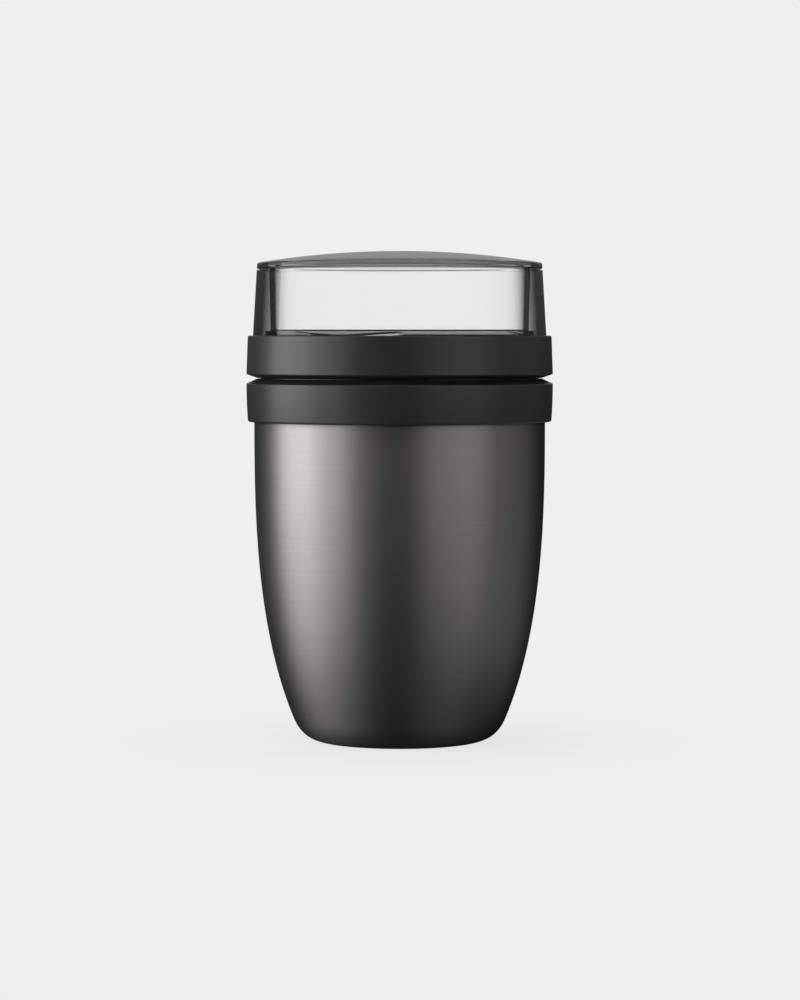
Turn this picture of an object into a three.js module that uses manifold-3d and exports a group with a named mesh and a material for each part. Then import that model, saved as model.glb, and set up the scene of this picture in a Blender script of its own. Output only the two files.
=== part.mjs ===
// An insulated lunch bowl: a double-walled steel pot with a black collar, a black screw lid
// with an insulated plug, and a clear cup in the lid with a clear screw sleeve and a domed cap.
// Millimetres, +Z up, the foot on z = 0 and every piece turned about the Z axis.
import * as THREE from "three";
import { mergeVertices } from "three/addons/utils/BufferGeometryUtils.js";
import Module from "manifold-3d";

const wasm = await Module();
wasm.setup();

const TURN = 2 * Math.PI;

// Fineness of the surfaces
const SIDES = 48; // flats round a large piece
const SMALL_SIDES = 24; // flats round a small button
const ROUND_STEPS = 3; // along a rounded edge
const FOOT_STEPS = 4; // along the foot's corner
const SIDE_STEPS = 8; // up the pot's side
const SIDE_CROWDING = 1.25; // draws the steps towards the foot
const DOME_STEPS = 3; // from the crown to the cap's edge

// Fits
const FIT = 0.3; // beside a neighbour that it seats on
const SLIDE_FIT = 0.35; // beside a neighbour that slides past it
const THREAD_FIT = 0.4; // between a thread's crest and the wall it turns in
const BITE = 0.4; // how far a thread's root is sunk in its own wall
const WELD = 1e-4; // corners nearer than this become one

// Steel pot
const BODY_RADIUS = 50.8; // outside of the shell, below the collar
const BODY_HEIGHT = 111.9; // foot to the lower edge of the collar
const OVAL_SINK = 26.3; // depth below the foot where the side's half oval would close
const OVAL_POWER = 2.68; // fullness of the half oval
const FOOT_RADIUS = 25.5; // outer edge of the flat ring it stands on
const FOOT_WIDTH = 6; // width of that ring
const FOOT_CORNER = 8; // height where the foot's corner runs into the side
const STEEL = 0.5; // sheet thickness of every steel piece
const VACUUM_GAP = 4.2; // between shell and liner
const SHOULDER_RISE = 4.4; // the shell's shoulder above the collar's lower edge
const SHOULDER_ROUND = 1.6; // rounding of the shoulder
const PLATE_LAP = 5; // how far the base plate lies on the foot ring
const PLATE_CONE = 2.5; // width of the base plate's raised cone
const BUTTON_RADIUS = 5; // vacuum seal button
const BUTTON_HEIGHT = 0.8;
const GETTER_RADIUS = 4;
const GETTER_HEIGHT = 1.4;
const GETTER_OFFSET = 9; // from the axis

// Black collar and lid
const RING_OVERHANG = 2.7; // how far the rings stand out from the steel
const RING_DRAFT = 0.5; // how much a ring narrows away from the groove
const COLLAR_HEIGHT = 13.3; // lower edge to the groove
const COLLAR_ROUND = 1.4; // rounding of the lower edge
const GASKET = 1.2; // collar gasket
const GROOVE_HEIGHT = 3.3; // V groove between collar and lid
const GROOVE_GAP = 0.35; // open slit at the root of the groove
const RING_HEIGHT = 13.4; // groove to the top of the lid's ring
const RING_ROUND = 0.5; // rounding of the ring's top edge
const RING_WALL = 3.6; // lid ring, outside to thread root
const NECK_WALL = 1.2; // collar's threaded neck
const SOCKET_WALL = 1.5; // lid ring beside the sleeve
const SOCKET_DEPTH = 3.3; // how deep the sleeve stands in the ring
const WEB = 1.5; // lid's web between ring and plug
const LID_SEAL = 1.2;
const LID_SEAL_WIDTH = 2.4;
const PLUG_WALL = 1.2;
const WELL_FLOOR = 1.3; // floor of the lid's well, under the cup
const INSULATION = 4.4; // foam disc in the plug
const PLUG_CAP = 1.4;

// Lid thread on the collar's neck
const LID_STARTS = 3;
const LID_LEAD = 18; // rise in one turn
const LID_DEPTH = 1.1;
const LID_RIB = 1.8; // height of a rib at its root
const LID_SPAN = 105; // most degrees that one rib takes

// Clear cup, sleeve and cap
const CLEAR_HEIGHT = 25.3; // top of the lid's ring to the cap's edge
const CLEAR_TAPER = 1.5; // how much narrower the cap's edge is than the sleeve's foot
const SLEEVE_WALL = 3;
const CAP_HEIGHT = 2.1; // parting line to the cap's edge
const CAP_PLATE = 1.8; // thickness of the cap's dome
const CAP_ROUND = 1.2; // rounding of the cap's edge
const CAP_RIB = 1.6; // rib under the cap, inside the cup's rim
const DOME_RISE = 4.1; // crown above the cap's edge
const RIM_CATCH = 0.5; // how far the cup's rim stands in the cap's groove
const RIM_SEAL = 0.7;
const CUP_DEPTH = 38.2; // rim to floor, inside
const CUP_WALL = 1.8;
const CUP_FLOOR = 1.8;
const CUP_STEP = 1.3; // how much wider the cup is above its flange than below it
const CUP_DRAFT = 0.5; // how much wider the cup is at its rim than above its flange
const CUP_CORNER = 4; // rounding between the cup's wall and floor
const CUP_GASKET = 0.9;
const FLANGE_SHOW = 1.6; // how far the cup's flange stands above the lid's ring

// Sleeve thread on the cup's flange
const SLEEVE_STARTS = 3;
const SLEEVE_LEAD = 18;
const SLEEVE_DEPTH = 1;
const SLEEVE_RIB = 1;
const SLEEVE_SPAN = 30; // most degrees that one rib takes

// Both threads
const RIB_FLANK = 0.2; // how much a rib narrows on each side, root to crest
const RIB_STEP = 360 / SIDES;
const RIB_END = 0.4; // share of the depth left at a rib's ends

// Heights, from the foot up
const collarTop = BODY_HEIGHT + COLLAR_HEIGHT;
const ringBottom = collarTop + GROOVE_HEIGHT;
const ringTop = ringBottom + RING_HEIGHT;
const grooveZ = (collarTop + ringBottom) / 2;
const webTop = ringTop - SOCKET_DEPTH;
const webBottom = webTop - WEB;
const lipTop = webBottom - LID_SEAL - 2 * FIT;
const lipBottom = lipTop - STEEL;
const neckTop = lipBottom - FIT;
const shoulderZ = BODY_HEIGHT + SHOULDER_RISE;
const gasketZ = shoulderZ + FIT;
const capEdge = ringTop + CLEAR_HEIGHT;
const crown = capEdge + DOME_RISE;
const capBottom = capEdge - CAP_HEIGHT;
const sleeveTop = capBottom - FIT;
const rimZ = capBottom + RIM_CATCH;
const catchTop = rimZ + RIM_SEAL + 2 * FIT;
const cupFloor = rimZ - CUP_DEPTH;
const cupBottom = cupFloor - CUP_FLOOR;
const wellZ = cupBottom - FIT;
const foamTop = wellZ - WELL_FLOOR - FIT;
const foamBottom = foamTop - INSULATION;
const plugBottom = foamBottom - FIT - PLUG_CAP;
const skirtZ = webTop + FIT;
const flangeBottom = webTop + CUP_GASKET + 2 * FIT;
const flangeTop = ringTop + FLANGE_SHOW;

// Radii, from the rings inward
const ringRadius = BODY_RADIUS + RING_OVERHANG;
const ringEdge = ringRadius - RING_DRAFT;
const ringBore = ringRadius - RING_WALL;
const neckCrest = ringBore - THREAD_FIT;
const neckRoot = neckCrest - LID_DEPTH;
const ringCrest = neckRoot + THREAD_FIT;
const neckBore = neckRoot - NECK_WALL;
const shellNeck = neckBore - FIT;
const linerNeck = shellNeck - STEEL - FIT;
const mouth = linerNeck - STEEL;
const plugRadius = mouth - SLIDE_FIT;
const wellRadius = plugRadius - PLUG_WALL;
const cupLow = wellRadius - FIT;
const cupHigh = cupLow + CUP_STEP;
const cupRim = cupHigh + CUP_DRAFT;
const sleeveRadius = ringEdge - SOCKET_WALL - FIT;
const capRadius = sleeveRadius - CLEAR_TAPER;
const skirtBore = sleeveRadius - SLEEVE_WALL;
const catchOuter = cupRim + SLIDE_FIT;
const catchInner = cupRim - CUP_WALL - SLIDE_FIT;
const flangeCrest = skirtBore - FIT;
const flangeRoot = flangeCrest - SLEEVE_DEPTH;
const skirtCrest = flangeRoot + FIT;
const collarBore = BODY_RADIUS + FIT;

const at = (r, z) => new THREE.Vector2(r, z);

// Points on a quarter round from one point to another, both tangents meeting at the corner
function round(start, corner, end, steps = ROUND_STEPS) {
  return new THREE.QuadraticBezierCurve(start, corner, end).getPoints(steps);
}

// An outline moved sideways to its left by a distance, with mitred corners
function offset(outline, distance) {
  const normals = outline.slice(1).map((p, i) => {
    const d = p.clone().sub(outline[i]).normalize();
    return at(-d.y, d.x);
  });
  return outline.map((p, i) => {
    const before = normals[Math.max(i - 1, 0)];
    const after = normals[Math.min(i, normals.length - 1)];
    const middle = before.clone().add(after).normalize();
    return p.clone().addScaledVector(middle, distance / middle.dot(before));
  });
}

// A solid of revolution about Z from an outline of radius and height
function revolve(outline, sides = SIDES) {
  return new THREE.LatheGeometry(outline, sides).rotateX(TURN / 4);
}

// A ring with a rectangular section
function ring(inner, outer, bottom, top) {
  const section = [at(inner, bottom), at(outer, bottom), at(outer, top), at(inner, top)];
  return revolve([...section, section[0]]);
}

// A disc on the axis
function disc(radius, bottom, top, sides = SIDES) {
  return revolve([at(0, bottom), at(radius, bottom), at(radius, top), at(0, top)], sides);
}

// A rib that climbs round the axis. It starts at an angle and a height and spans some degrees;
// its section runs from the root radius to the crest radius.
function rib(root, crest, height, lead, start, span, z) {
  const side = Math.sign(crest - root);
  const steps = Math.max(Math.round(span / RIB_STEP), 2);
  const corners = [];
  for (let i = 0; i <= steps; i++) {
    const angle = THREE.MathUtils.degToRad(start + (span * i) / steps);
    const low = z + (lead * span * i) / steps / 360;
    const ended = i === 0 || i === steps;
    const tip = root + (crest - root) * (ended ? RIB_END : 1);
    const section = [
      [root - side * BITE, low],
      [tip, low + RIB_FLANK],
      [tip, low + height - RIB_FLANK],
      [root - side * BITE, low + height],
    ];
    for (const [r, h] of section) corners.push(r * Math.cos(angle), r * Math.sin(angle), h);
  }
  const faces = [];
  const quad = (a, b, c, d) => faces.push(...(side > 0 ? [a, b, c, a, c, d] : [a, c, b, a, d, c]));
  const last = 4 * steps;
  quad(0, 1, 2, 3);
  quad(last + 3, last + 2, last + 1, last);
  for (let i = 0; i < steps; i++) {
    for (let j = 0; j < 4; j++) {
      const here = 4 * i + j;
      const beside = 4 * i + ((j + 1) % 4);
      quad(here, here + 4, beside + 4, beside);
    }
  }
  const geometry = new THREE.BufferGeometry();
  geometry.setAttribute("position", new THREE.Float32BufferAttribute(corners, 3));
  geometry.setIndex(faces);
  return geometry;
}

function solidOf(geometry) {
  const bare = geometry.clone();
  bare.deleteAttribute("normal");
  bare.deleteAttribute("uv");
  const merged = mergeVertices(bare, WELD);
  return new wasm.Manifold(
    new wasm.Mesh({
      numProp: 3,
      vertProperties: new Float32Array(merged.attributes.position.array),
      triVerts: new Uint32Array(merged.index.array),
    }),
  );
}

// A turned piece with the ribs of its thread joined on, one rib for each start
function threaded(body, starts, makeRib) {
  let solid = solidOf(body);
  for (let i = 0; i < starts; i++) solid = solid.add(solidOf(makeRib((360 * i) / starts)));
  const mesh = solid.getMesh();
  const geometry = new THREE.BufferGeometry();
  geometry.setAttribute("position", new THREE.BufferAttribute(mesh.vertProperties, 3));
  geometry.setIndex(new THREE.BufferAttribute(mesh.triVerts, 1));
  return geometry;
}

// The steel side: a half oval that stands upright at the collar
function sideRadius(z) {
  const share = (BODY_HEIGHT - z) / (BODY_HEIGHT + OVAL_SINK);
  return BODY_RADIUS * Math.sqrt(1 - share ** OVAL_POWER);
}

// Outside of the pot from a point under it, round the foot's corner and up to the collar
function bodyOutline(innermost) {
  const corner = at(sideRadius(FOOT_CORNER), FOOT_CORNER);
  const slope = (sideRadius(FOOT_CORNER + FIT) - corner.x) / FIT;
  const meet = at(corner.x - slope * FOOT_CORNER, 0);
  const foot = round(at(FOOT_RADIUS, 0), meet, corner, FOOT_STEPS);
  const side = Array.from({ length: SIDE_STEPS }, (_, i) => {
    const share = ((i + 1) / SIDE_STEPS) ** SIDE_CROWDING;
    const z = FOOT_CORNER + (BODY_HEIGHT - FOOT_CORNER) * share;
    return at(sideRadius(z), z);
  });
  return [at(innermost, 0), ...foot, ...side];
}

function shellGeometry() {
  const shoulder = at(BODY_RADIUS, shoulderZ);
  const outside = [
    ...bodyOutline(FOOT_RADIUS - FOOT_WIDTH),
    ...round(
      at(BODY_RADIUS, shoulderZ - SHOULDER_ROUND),
      shoulder,
      at(BODY_RADIUS - SHOULDER_ROUND, shoulderZ),
    ),
    at(shellNeck, shoulderZ),
    at(shellNeck, neckTop),
  ];
  return revolve([...outside, ...offset(outside, STEEL).reverse(), outside[0]]);
}

function linerGeometry() {
  const outline = bodyOutline(0);
  const outside = offset(outline, STEEL + VACUUM_GAP);
  const inside = offset(outline, 2 * STEEL + VACUUM_GAP);
  return revolve([
    ...outside,
    at(linerNeck, shoulderZ),
    at(linerNeck, lipBottom),
    at(shellNeck, lipBottom),
    at(shellNeck, lipTop),
    at(mouth, lipTop),
    at(mouth, shoulderZ),
    ...inside.reverse(),
  ]);
}

// The base plate lies on the foot ring inside the shell, raised in the middle under the getter
const linerFoot = STEEL + VACUUM_GAP;
const plateRim = STEEL + FIT;
const plateTop = linerFoot - GETTER_HEIGHT - 2 * FIT;

function plateGeometry() {
  const opening = FOOT_RADIUS - FOOT_WIDTH;
  const top = [
    at(opening + PLATE_LAP, plateRim + STEEL),
    at(opening, plateRim + STEEL),
    at(opening - PLATE_CONE, plateTop),
    at(0, plateTop),
  ];
  const bottom = top.map((p) => at(p.x, p.y - STEEL)).reverse();
  return revolve([...bottom, ...top]);
}

function collarGeometry() {
  const body = revolve([
    at(collarBore, BODY_HEIGHT),
    ...round(
      at(ringEdge - COLLAR_ROUND, BODY_HEIGHT),
      at(ringEdge, BODY_HEIGHT),
      at(ringEdge, BODY_HEIGHT + COLLAR_ROUND),
    ),
    ...round(
      at(ringEdge, BODY_HEIGHT + COLLAR_ROUND),
      at(ringRadius, (BODY_HEIGHT + collarTop) / 2),
      at(ringRadius, collarTop),
    ).slice(1),
    at(ringBore, grooveZ),
    at(neckRoot, grooveZ),
    at(neckRoot, neckTop),
    at(neckBore, neckTop),
    at(neckBore, gasketZ + GASKET + FIT),
    at(collarBore, gasketZ + GASKET + FIT),
    at(collarBore, BODY_HEIGHT),
  ]);
  return threaded(body, LID_STARTS, (start) =>
    rib(neckRoot, neckCrest, LID_RIB, LID_LEAD, start, neckSpan, neckThreadZ),
  );
}

// The collar's ribs end under the neck's top; the lid's ribs run just below them
const neckThreadZ = grooveZ + FIT;
const neckSpan = Math.min(LID_SPAN, ((neckTop - FIT - LID_RIB - neckThreadZ) / LID_LEAD) * 360);
const lidThreadZ = grooveZ + GROOVE_GAP + BITE;
const lidBack = lidThreadZ - (neckThreadZ - LID_RIB - FIT);
const lidStart = (lidBack / LID_LEAD) * 360;
const lidSpan = Math.min(LID_SPAN, ((webBottom - BITE - LID_RIB - lidThreadZ) / LID_LEAD) * 360);

function lidGeometry() {
  const body = revolve([
    at(0, wellZ - WELL_FLOOR),
    at(wellRadius, wellZ - WELL_FLOOR),
    at(wellRadius, plugBottom),
    at(plugRadius, plugBottom),
    at(plugRadius, webBottom),
    at(ringBore, webBottom),
    at(ringBore, grooveZ + GROOVE_GAP),
    at(ringRadius, ringBottom),
    at(ringEdge, ringTop - RING_ROUND),
    at(ringEdge - RING_ROUND, ringTop),
    at(sleeveRadius + FIT, ringTop),
    at(sleeveRadius + FIT, webTop),
    at(wellRadius, webTop),
    at(wellRadius, wellZ),
    at(0, wellZ),
  ]);
  return threaded(body, LID_STARTS, (start) =>
    rib(ringBore, ringCrest, LID_RIB, LID_LEAD, start + lidStart, lidSpan, lidThreadZ),
  );
}

// The cup's ribs end under the flange's top; the sleeve's ribs run just below them
const sleeveRoom = flangeTop - skirtZ - 2 * SLEEVE_RIB - 3 * FIT;
const sleeveSpan = Math.min(SLEEVE_SPAN, (sleeveRoom / SLEEVE_LEAD) * 360);
const flangeThreadZ = flangeTop - FIT - SLEEVE_RIB - (SLEEVE_LEAD * sleeveSpan) / 360;
const skirtThreadZ = flangeThreadZ - SLEEVE_RIB - FIT;

function cupGeometry() {
  const bore = cupLow - CUP_WALL;
  const body = revolve([
    at(0, cupBottom),
    ...round(
      at(cupLow - CUP_CORNER, cupBottom),
      at(cupLow, cupBottom),
      at(cupLow, cupBottom + CUP_CORNER),
    ),
    at(cupLow, flangeBottom),
    at(flangeRoot, flangeBottom),
    at(flangeRoot, flangeTop),
    at(cupHigh, flangeTop),
    at(cupRim, rimZ),
    at(cupRim - CUP_WALL, rimZ),
    at(cupHigh - CUP_WALL, flangeBottom + CUP_STEP),
    at(bore, flangeBottom),
    ...round(
      at(bore, cupFloor + CUP_CORNER),
      at(bore, cupFloor),
      at(bore - CUP_CORNER, cupFloor),
    ),
    at(0, cupFloor),
  ]);
  return threaded(body, SLEEVE_STARTS, (start) =>
    rib(flangeRoot, flangeCrest, SLEEVE_RIB, SLEEVE_LEAD, start, sleeveSpan, flangeThreadZ),
  );
}

// Outside of the sleeve and the cap, one tapered line
function clearRadius(z) {
  return sleeveRadius - (CLEAR_TAPER * (z - ringTop)) / CLEAR_HEIGHT;
}

function sleeveGeometry() {
  const edge = clearRadius(sleeveTop);
  const body = revolve([
    at(skirtBore, skirtZ),
    at(sleeveRadius, skirtZ),
    at(sleeveRadius, ringTop),
    at(edge, sleeveTop),
    at(edge - SLEEVE_WALL, sleeveTop),
    at(skirtBore, ringTop),
    at(skirtBore, skirtZ),
  ]);
  return threaded(body, SLEEVE_STARTS, (start) =>
    rib(skirtBore, skirtCrest, SLEEVE_RIB, SLEEVE_LEAD, start, sleeveSpan, skirtThreadZ),
  );
}

// Height of a shallow dome over a radius
function domeZ(top, r) {
  const sphere = (capRadius ** 2 + DOME_RISE ** 2) / (2 * DOME_RISE);
  return top - sphere + Math.sqrt(sphere ** 2 - r ** 2);
}

// The cap lies on the sleeve, and a groove under it takes the cup's rim
function capGeometry() {
  const arc = (top, reach) =>
    Array.from({ length: DOME_STEPS + 1 }, (_, i) => {
      const r = (reach * i) / DOME_STEPS;
      return at(r, domeZ(top, r));
    });
  const ribInner = catchInner - CAP_RIB;
  const edge = capRadius - CAP_ROUND;
  return revolve([
    ...arc(crown - CAP_PLATE, ribInner),
    at(ribInner, capBottom),
    at(catchInner, capBottom),
    at(catchInner, catchTop),
    at(catchOuter, catchTop),
    at(catchOuter, capBottom),
    at(clearRadius(capBottom), capBottom),
    ...round(
      at(clearRadius(capEdge - CAP_ROUND), capEdge - CAP_ROUND),
      at(capRadius, capEdge),
      at(edge, domeZ(crown, edge)),
    ),
    ...arc(crown, edge).reverse().slice(1),
  ]);
}

const group = new THREE.Group();
group.name = "insulated_bowl";

function add(name, geometry, color, roughness, metalness, opacity = 1) {
  const material = new THREE.MeshStandardMaterial({ color, roughness, metalness });
  material.opacity = opacity;
  material.transparent = opacity < 1;
  const mesh = new THREE.Mesh(geometry, material);
  mesh.name = name;
  group.add(mesh);
}

const BRUSHED = [0x6b6664, 0.38, 1];
const PLAIN_STEEL = [0xb4b2af, 0.3, 1];
const BLACK = [0x1e1e1f, 0.6, 0];
const CLEAR = [0xe8ebed, 0.05, 0, 0.3];
const SILICONE = [0x8f9193, 0.65, 0];
const MILKY = [0xd9dbdc, 0.5, 0];
const FOAM = [0xe4e0d4, 0.9, 0];

const buttonTop = plateTop - STEEL - FIT;
const getterFoot = plateTop + FIT;
const button = disc(BUTTON_RADIUS, buttonTop - BUTTON_HEIGHT, buttonTop, SMALL_SIDES);
const getter = disc(GETTER_RADIUS, getterFoot, getterFoot + GETTER_HEIGHT, SMALL_SIDES);
getter.translate(GETTER_OFFSET, 0, 0);

add("outer_shell", shellGeometry(), ...BRUSHED);
add("inner_liner", linerGeometry(), ...PLAIN_STEEL);
add("base_plate", plateGeometry(), ...PLAIN_STEEL);
add("vacuum_seal_button", button, 0x77777a, 0.5, 1);
add("getter", getter, 0x8a8d90, 0.6, 1);
add("collar", collarGeometry(), ...BLACK);
add("collar_gasket", ring(neckBore, collarBore - FIT, gasketZ, gasketZ + GASKET), ...SILICONE);
add("lid_body", lidGeometry(), ...BLACK);
add("plug_cap", disc(wellRadius - FIT, plugBottom, plugBottom + PLUG_CAP), ...BLACK);
add("lid_insulation", disc(wellRadius - FIT, foamBottom, foamTop), ...FOAM);
add("lid_seal", ring(mouth, mouth + LID_SEAL_WIDTH, lipTop + FIT, webBottom - FIT), ...SILICONE);
add("cup_gasket", ring(cupLow + FIT, flangeRoot, webTop + FIT, webTop + FIT + CUP_GASKET), ...SILICONE);
add("snack_cup", cupGeometry(), ...CLEAR);
add("rim_seal", ring(cupRim - CUP_WALL, cupRim, rimZ + FIT, catchTop - FIT), ...MILKY);
add("clear_sleeve", sleeveGeometry(), ...CLEAR);
add("dome_cap", capGeometry(), ...CLEAR);

export default group;
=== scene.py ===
"""Insulated lunch bowl: a brushed steel pot, black collar and lid, clear cup, sleeve and cap.

Every piece is a surface turned about an upright axis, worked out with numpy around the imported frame.
"""

import math

import bpy
import numpy as np
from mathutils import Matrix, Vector


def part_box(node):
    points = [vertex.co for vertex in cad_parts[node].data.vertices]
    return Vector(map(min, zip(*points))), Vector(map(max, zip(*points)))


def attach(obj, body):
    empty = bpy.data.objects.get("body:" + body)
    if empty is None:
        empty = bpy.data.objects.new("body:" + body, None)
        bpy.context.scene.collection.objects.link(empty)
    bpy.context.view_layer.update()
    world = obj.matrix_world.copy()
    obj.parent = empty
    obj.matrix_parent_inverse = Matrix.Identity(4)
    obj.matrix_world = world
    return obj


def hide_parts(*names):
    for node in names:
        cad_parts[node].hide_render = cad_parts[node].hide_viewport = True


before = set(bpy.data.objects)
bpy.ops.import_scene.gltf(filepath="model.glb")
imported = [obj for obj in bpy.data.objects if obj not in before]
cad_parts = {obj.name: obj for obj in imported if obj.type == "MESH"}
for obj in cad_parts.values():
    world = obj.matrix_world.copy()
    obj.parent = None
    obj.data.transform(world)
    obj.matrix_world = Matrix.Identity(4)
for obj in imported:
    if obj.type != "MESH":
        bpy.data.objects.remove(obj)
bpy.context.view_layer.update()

bl_info = {
    "name": "Insulated lunch bowl",
    "version": (1, 0, 0),
    "blender": (4, 5, 0),
    "location": "View3D > Sidebar > Bowl",
    "description": "Builds a double-walled steel lunch bowl with a screw lid and a clear cup",
    "category": "Add Mesh",
}

MM = 0.001
TURN = 2 * math.pi
NIL = 1e-7  # a length below which two points are one

# Fits between pieces
FIT = 0.3 * MM
SLIDE_FIT = 0.35 * MM
THREAD_FIT = 0.4 * MM

# Roundings of edges, from crisp to swept
LEAST_ROUND = 0.08 * MM
HAIR = 0.1 * MM
CRISP = 0.15 * MM
FINE = 0.2 * MM
NEAT = 0.25 * MM
EASED = 0.3 * MM
FULL = 0.35 * MM
MILD = 0.4 * MM
SOFT = 0.5 * MM
BEND = 0.8 * MM
SWEEP = 1.0 * MM

# Fineness of the surfaces
SIDES = 240
SMALL_SIDES = 72
STAGE_SIDES = 96
CURVE_STEPS = 6
SUPPORT = 1.3  # where a straight run gets its last point, as a share of the rounding beside it
SIDE_ROWS = 72
FOOT_ROWS = 24
BARREL_ROWS = 12
BARREL_SPAN = (0.82, 0.06)  # depth of the collar's bowed rows under its top, as a share of its height
DOME_ROWS = 24
DOME_REACH = 0.985  # where a dome's rows end, before the power below
DOME_SPREAD = 0.8  # power that draws the rows closer towards the edge
THREAD_ROWS = 72
SHORT_THREAD_ROWS = 36

# Threads
STARTS = 3
RIB_FLANK = 0.31  # share of a rib's width that each flank takes
RUN_OUT = math.radians(7)
LID_RIB_TURN = math.radians(105)
SLEEVE_RIB_TURN = math.radians(30)
RIB_INSET = 0.4 * MM  # distance of the lid's ribs from the ends of its bore
WALL_BAND = 0.05 * MM  # how far a point may lie from the wall and its run, and still carry the rib

# Space below and above the rows that carry a thread
NECK_ENDS = (0.1 * MM, 0.3 * MM)
BORE_ENDS = (0.1 * MM, 0.45 * MM)
FLANGE_ENDS = (0.3 * MM, 0.3 * MM)
SKIRT_ENDS = (0.3 * MM, 0.4 * MM)

# Clear plastic: painted shade darkens a wall seen along its length; the fades are given as 1 less the
# cosine of the angle it is seen at
CUP_SHADE_FADE = (0.68, 0.88)
SLEEVE_SHADE_FADE = (0.4, 0.7)
CAP_SHADE_FADE = (-0.9, 0.95)
EVERYWHERE = (-1.0, 1.0)  # a band of radii that leaves nothing out
BAND_BLUR = 0.3 * MM  # half the width over which a band of radii starts and ends
WALL_GLOSS = 0.2
CUP_INDEX = 1.18
CLEAR_INDEX = 1.25
FLAT = (1.0, 1.0, 0.0)  # leaves the height out of the Object coordinates
WHITE = (1.0, 1.0, 1.0, 1.0)

# Stage, in metres and degrees; lens and sensor in millimetres
CAMERA_PLACE = (0.12 * MM, -1.2, 142.32 * MM)
CAMERA_PITCH = 2.763
CAMERA_LENS = 123.55
CAMERA_SENSOR = 36.0
CAMERA_CLIP = (0.05, 50.0)
FLOOR_RADIUS = 4.0
FLOOR_ROWS = 24
FLOOR_SINK = 0.1 * MM
SHADOW_SHARE = 0.12
SHADOW_FADE = (0.03, 0.11)
CLOTH_RADIUS = 1.5
CLOTH_TOP = 2.2
CLOTH_FOOT = 0.4 * MM
CLOTH_BEND = 0.05
# Painted shade: the cloth's colour darkens towards its foot, so the steel's lower part reflects darker
CLOTH_LOW_SHADE = 0.12  # tone at the cloth's foot, as a share of its tone higher up
CLOTH_FADE = (0.0, 0.5)
# Edges of the painted light on the cloth, a lit table as reflections show it, near the bowl and further
# out
GLOW_LEFT = (-0.07, -0.17)
GLOW_RIGHT = (0.06, 0.14)
GLOW_FRONT = (0.07, -0.02)
GLOW_FADE = (0.25, 0.5)
FAR_LEFT = (-0.3, -0.6)
FAR_FRONT = (0.35, 0.05)
TABLE_HEIGHT = (0.06, 0.02)
BOUNCED = (0.4, 0.6)  # between no reflection and one
# Each lamp's name, degrees to the right of the camera, height, distance, size and height aimed at
LAMPS = (
    ("key", -89.0, 0.2, 1.0, (0.7, 1.1), 0.09),
    ("front", -57.0, 0.2, 1.0, (0.6, 1.0), 0.09),
    ("side", 44.0, 0.2, 1.0, (0.95, 1.0), 0.09),
    ("fill", 85.0, 0.2, 1.0, (1.6, 1.0), 0.09),
    ("back", 180.0, 0.42, 1.0, (1.2, 0.4), 0.2),
    ("top", 0.0, 1.2, 0.05, (0.9, 0.9), 0.09),
)


def top_of(node):
    """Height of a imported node's highest point."""
    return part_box(node)[1].z


def foot_of(node):
    """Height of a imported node's lowest point."""
    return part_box(node)[0].z


def radius_of(node):
    """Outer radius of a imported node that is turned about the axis."""
    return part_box(node)[1].x


def number(name, description, default, low=0.0, **limits):
    """A number that a user may change."""
    return bpy.props.FloatProperty(
        name=name, description=description, default=default, min=low, **limits,
    )


def length(name, description, default):
    """A length, in metres."""
    return number(name, description, default, precision=5, subtype="DISTANCE", unit="LENGTH")


def share(name, description, default, top=1.0):
    """A plain number from 0 to its top."""
    return number(name, description, default, max=top, subtype="FACTOR")


def power(name, description, default):
    """A lamp's power, in watts."""
    return number(name, description, default, unit="POWER")


def colour(name, description, default):
    """A linear colour."""
    return bpy.props.FloatVectorProperty(
        name=name, description=description, default=default,
        size=3, min=0.0, max=1.0, subtype="COLOR",
    )


class PotSizes(bpy.types.PropertyGroup):
    """Sizes of the steel pot."""

    body_radius: length("Body radius", "Outside of the shell under the collar", radius_of("outer_shell"))
    body_height: length("Body height", "Foot to the lower edge of the collar", foot_of("collar"))
    oval_sink: length("Oval sink", "Depth below the foot where the half oval closes", 26.3 * MM)
    fullness: number("Fullness", "Power of the half oval", 2.68, 1.5, max=5.0)
    foot_radius: length("Foot radius", "Outer edge of the flat ring it stands on", 25.5 * MM)
    foot_width: length("Foot width", "Width of that ring", 6 * MM)
    foot_corner: length("Foot corner", "Height where the corner runs into the side", 8 * MM)
    sheet: length("Sheet", "Thickness of the steel", 0.5 * MM)
    vacuum_gap: length("Vacuum gap", "Space between shell and liner", 4.2 * MM)
    shoulder_rise: length("Shoulder rise", "Shoulder above the collar's lower edge", 4.4 * MM)
    shoulder_round: length("Shoulder round", "Rounding of the shoulder", 1.6 * MM)
    plate_lap: length("Plate lap", "How far the base plate lies on the foot ring", 5 * MM)
    plate_cone: length("Plate cone", "Width of the base plate's raised cone", 2.5 * MM)


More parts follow.
